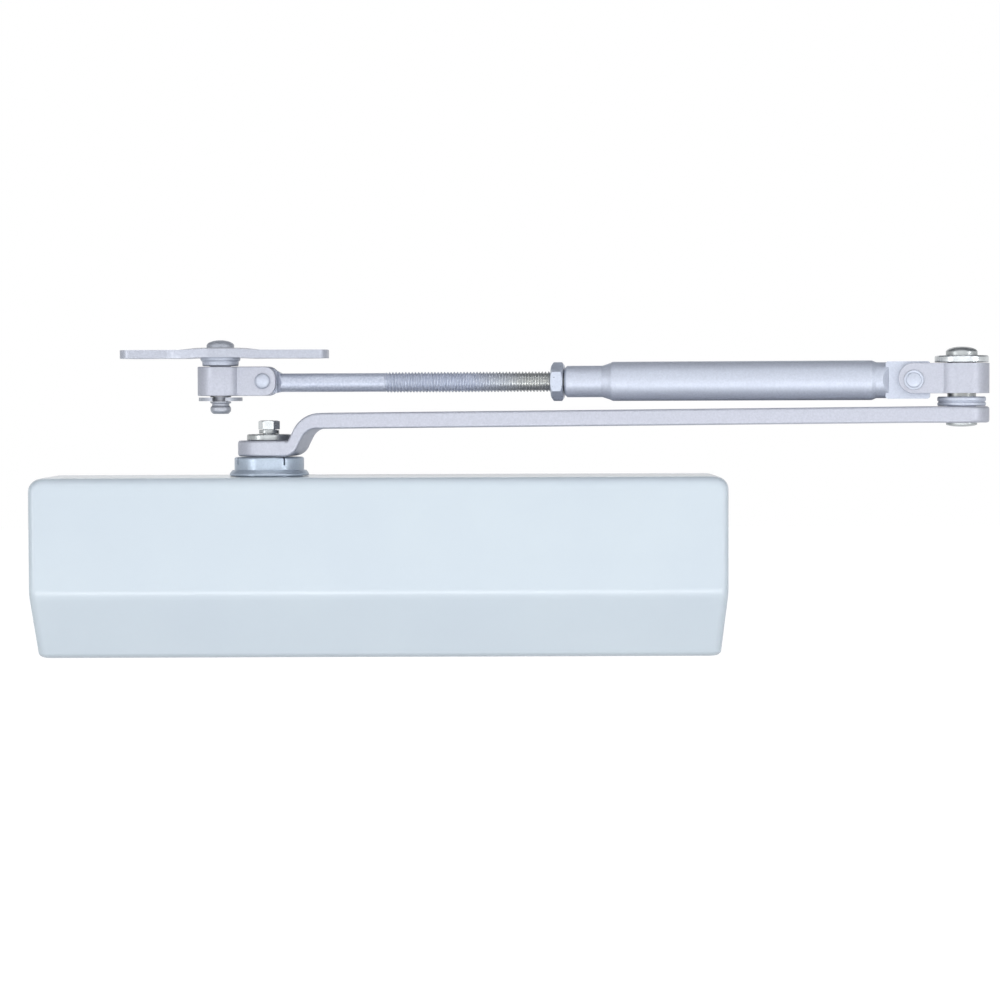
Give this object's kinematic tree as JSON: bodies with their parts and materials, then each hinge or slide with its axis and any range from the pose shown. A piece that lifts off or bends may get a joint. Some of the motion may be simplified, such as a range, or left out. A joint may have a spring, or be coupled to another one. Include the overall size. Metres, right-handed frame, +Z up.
{
  "type": "door closer",
  "caption": "Surface-mounted door closer: silver-blue cover over a rack-and-pinion body, with a cranked main arm, an adjustable folding forearm and a pivoting shoe.",
  "frame": {"origin": "the middle of the body's flat mounting face, in the plane of the door leaf", "axes": "+X runs along the closer's body towards the elbow of the folded arm, +Y points into the door leaf, and +Z points up, from the body towards the arms"},
  "size_m": [0.3598, 0.0718, 0.121],
  "materials": {
    "cover_plastic": "satin silver-blue lacquered plastic",
    "arm_paint": "silver paint with a fine orange peel over pressed steel",
    "cap_paint": "smooth silver-blue paint",
    "zinc_plate": "bright zinc plate",
    "cast_aluminium": "as-cast aluminium, machined where pieces seat",
    "machined_steel": "machined steel, lightly oiled",
    "bearing_bronze": "sintered bronze",
    "spring_steel": "dark drawn spring wire",
    "seal_rubber": "black nitrile rubber"
  },
  "bodies": {
    "closer_body": {"body_casting": "cast_aluminium", "upper_bearing_cap": "cap_paint", "lower_bearing_cap": "machined_steel", "upper_spindle_bearing": "bearing_bronze", "lower_spindle_bearing": "bearing_bronze", "left_end_plug": "machined_steel", "right_end_plug": "machined_steel", "left_plug_seal": "seal_rubber", "right_plug_seal": "seal_rubber", "closing_spring": "spring_steel"},
    "cover_shell": {"cover": "cover_plastic"},
    "sweep_valve_screw": {"sweep_valve": "machined_steel"},
    "latch_valve_screw": {"latch_valve": "machined_steel"},
    "piston_unit": {"piston": "machined_steel", "piston_check_valve": "bearing_bronze"},
    "spindle_and_arm": {"spindle": "machined_steel", "main_arm": "arm_paint", "arm_washer": "zinc_plate", "arm_spring_washer": "zinc_plate", "arm_bolt": "zinc_plate", "elbow_pin": "zinc_plate", "elbow_bush": "arm_paint", "elbow_washer": "zinc_plate"},
    "elbow_knuckle": {"elbow_strap": "arm_paint", "elbow_sleeve": "bearing_bronze", "elbow_rivet": "arm_paint"},
    "forearm": {"forearm_tube": "arm_paint"},
    "lock_nut_unit": {"lock_nut": "zinc_plate"},
    "rod_unit": {"adjusting_rod": "arm_paint"},
    "shoe_knuckle": {"shoe_strap": "arm_paint", "shoe_sleeve": "bearing_bronze", "shoe_rivet": "arm_paint"},
    "shoe": {"shoe_plate": "arm_paint", "shoe_bush": "arm_paint", "shoe_pin": "zinc_plate", "retaining_ring": "arm_paint"}
  },
  "joints": [
    {"name": "arm_swing", "type": "hinge", "parent": "closer_body", "child": "spindle_and_arm", "pos_m": [-0.04283, -0.025, 0.042], "axis": [0, 0, 1], "range_deg": [-164, 8]},
    {"name": "piston_slide", "type": "slide", "parent": "closer_body", "child": "piston_unit", "axis": [1, 0, 0], "range_m": [-0.0011, 0.0215], "deforming": ["closing_spring"]},
    {"name": "elbow_turn", "type": "hinge", "parent": "spindle_and_arm", "child": "elbow_knuckle", "pos_m": [0.21761, -0.0616, 0.07082], "axis": [0, 0, 1], "continuous": true},
    {"name": "elbow_pitch", "type": "hinge", "parent": "elbow_knuckle", "child": "forearm", "pos_m": [0.20018, -0.05915, 0.07017], "axis": [0.1392, 0.9903, 0], "range_deg": [-1, 12]},
    {"name": "lock_nut_turn", "type": "hinge", "parent": "forearm", "child": "lock_nut_unit", "pos_m": [0.06803, -0.04058, 0.07017], "axis": [0.9903, -0.1392, 0], "continuous": true},
    {"name": "rod_slide", "type": "slide", "parent": "forearm", "child": "rod_unit", "axis": [-0.9903, 0.1392, 0], "range_m": [-0.015, 0.028]},
    {"name": "shoe_pitch", "type": "hinge", "parent": "rod_unit", "child": "shoe_knuckle", "pos_m": [-0.04442, -0.02478, 0.07082], "axis": [0.1392, 0.9903, 0], "range_deg": [-10, 10]},
    {"name": "shoe_turn", "type": "hinge", "parent": "shoe_knuckle", "child": "shoe", "pos_m": [-0.06165, -0.02236, 0.07082], "axis": [0, 0, 1], "continuous": true},
    {"name": "sweep_valve_turn", "type": "hinge", "parent": "closer_body", "child": "sweep_valve_screw", "pos_m": [-0.112, -0.0395, 0.018], "axis": [1, 0, 0], "range_deg": [-180, 180]},
    {"name": "latch_valve_turn", "type": "hinge", "parent": "closer_body", "child": "latch_valve_screw", "pos_m": [-0.112, -0.0395, -0.018], "axis": [1, 0, 0], "range_deg": [-180, 180]},
    {"name": "cover_removal", "type": "slide", "parent": "closer_body", "child": "cover_shell", "axis": [0, -1, 0], "range_m": [0, 0.065]}
  ],
  "couplings": [
    {"joint": "piston_slide", "follows": "arm_swing", "m_per_rad": -0.0075}
  ]
}
